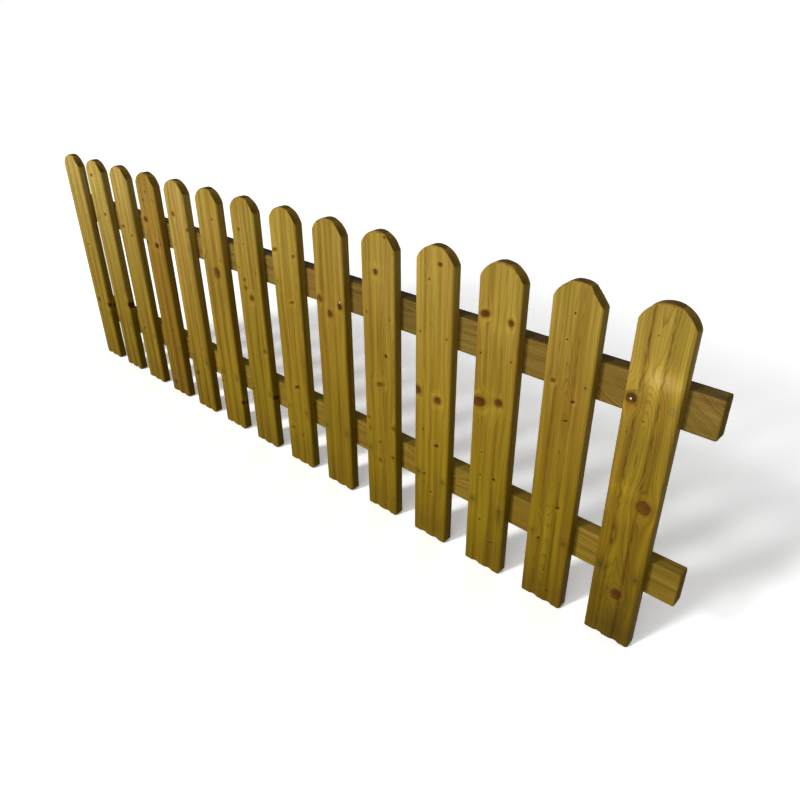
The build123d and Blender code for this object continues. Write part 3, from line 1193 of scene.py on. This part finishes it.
# %% [markdown]
# ## Floor and backdrop
#
# The panel stands on a white studio floor. For the rays that show the
# background the floor is close to white, with a soft shadow. Its paint is
# brighter there than real paint and glows a little, so that it looks white in a
# light at which the pine keeps its colour. For light that bounces off it, it is
# a mid grey, so it doesn't flood the boards from below.


# %% Floor
def background_rays(tree):
    """1 for the rays that show the background: the camera's, and those in metal or glass."""
    rays = add(tree, "ShaderNodeLightPath", out=None)
    seen = add(tree, MATH, {0: rays["Is Camera Ray"], 1: rays["Is Glossy Ray"]}, operation="MAXIMUM")
    return add(tree, MATH, {0: seen, 1: rays["Is Transmission Ray"]}, operation="MAXIMUM")


FLOOR_REACH = 30 / MM
corners = [(x * FLOOR_REACH, y * FLOOR_REACH, foot_level) for x, y in ((-1, -1), (1, -1), (1, 1), (-1, 1))]
floor = as_object("floor", np.array(corners), [(0, 1, 2, 3)], {})
white, tree = new_material("white_floor")
paint = add(tree, "ShaderNodeBsdfDiffuse", {"Color": (1.3, 1.3, 1.3, 1)})
lift = add(tree, "ShaderNodeEmission", {"Color": (1, 1, 1, 1), "Strength": 0.12})
shown = add(tree, "ShaderNodeAddShader", {0: paint, 1: lift})
bounced = add(tree, "ShaderNodeBsdfDiffuse", {"Color": (0.3, 0.3, 0.3, 1)})
both = add(tree, "ShaderNodeMixShader", {0: background_rays(tree), 1: bounced, 2: shown})
add(tree, "ShaderNodeOutputMaterial", {"Surface": both}, out=None)
floor.data.materials.append(white)
print("floor:", floor.name, "at", round(foot_level, 1), "mm")

# %% [markdown]
# ## Light
#
# Two studio soft boxes stand one above the other at the front, a little to the
# left. Each is a sun lamp here, so its light is as strong at one end of the
# panel as at the other. Together they make a tall, narrow source: shadows are
# fairly sharp from side to side and very soft lengthwise. A very wide light low
# at the front, a little to the right, fills the boards' right sides. Another,
# low behind the panel, keeps its back readable. It gives no glints, which would
# draw bright lines along the boards' edges. The pale surroundings fill the rest.


# %% Lamps
def soft_box(name, aside, rise, strength, width, glints=True):
    """A distant soft lamp: degrees to the left of the front, degrees up, its strength
    and width, and whether it shows in gloss."""
    aside, rise = radians(aside), radians(rise)
    way = Vector((-sin(aside) * cos(rise), -cos(aside) * cos(rise), sin(rise)))
    lamp = bpy.data.lights.new(name, "SUN")
    lamp.energy = strength
    lamp.angle = radians(width)
    holder = bpy.data.objects.new(name, lamp)
    holder.rotation_mode = "QUATERNION"
    holder.rotation_quaternion = way.to_track_quat("Z", "Y")
    holder.visible_glossy = glints
    bpy.context.scene.collection.objects.link(holder)


soft_box("soft_box_high", 21, 37, 0.85, 9)
soft_box("soft_box_low", 18, 22, 1.9, 12)
soft_box("front_fill", -8, 8, 1.7, 50)
soft_box("back_fill", 150, 8, 1.3, 40, glints=False)
print("lamps:", [lamp.name for lamp in bpy.data.lights])

# %% Surroundings
# As background the world is plain white. As light it is a quarter of that.
world = bpy.data.worlds.new("studio")
bpy.context.scene.world = world
world.use_nodes = True
tree = world.node_tree
tree.nodes.clear()
level = add(tree, SPREAD, {0: background_rays(tree), 3: 0.25, 4: 1.0})
sky = add(tree, "ShaderNodeBackground", {"Color": (1, 1, 1, 1), "Strength": level})
add(tree, "ShaderNodeOutputWorld", {"Surface": sky}, out=None)
print("world:", world.name)

# %% [markdown]
# ## Camera
#
# The camera stands near the panel's right end, a little above its top, and
# looks left along it. Its place was worked out by fitting the known sizes of
# the panel to the picture.

# %% Camera
lens = bpy.data.cameras.new("camera")
lens.lens = 30.693
lens.sensor_width = 36
lens.clip_start = 0.05
camera = bpy.data.objects.new("camera", lens)
bpy.context.scene.collection.objects.link(camera)
aim = Euler((radians(60.744), 0, radians(42.391))).to_matrix() @ Matrix.Rotation(radians(-0.375), 3, "Z")
camera.rotation_euler = aim.to_euler()
camera.location = (2.04528, -0.88292, 0.46849)
bpy.context.scene.camera = camera
bpy.context.scene.view_settings.view_transform = "Standard"
print("camera:", [round(part, 3) for part in camera.location], "lens:", round(lens.lens, 1), "mm")

# %% [markdown]
# ## Finish
#
# The scene is brought up to date.

# %% Finish
bpy.context.view_layer.update()
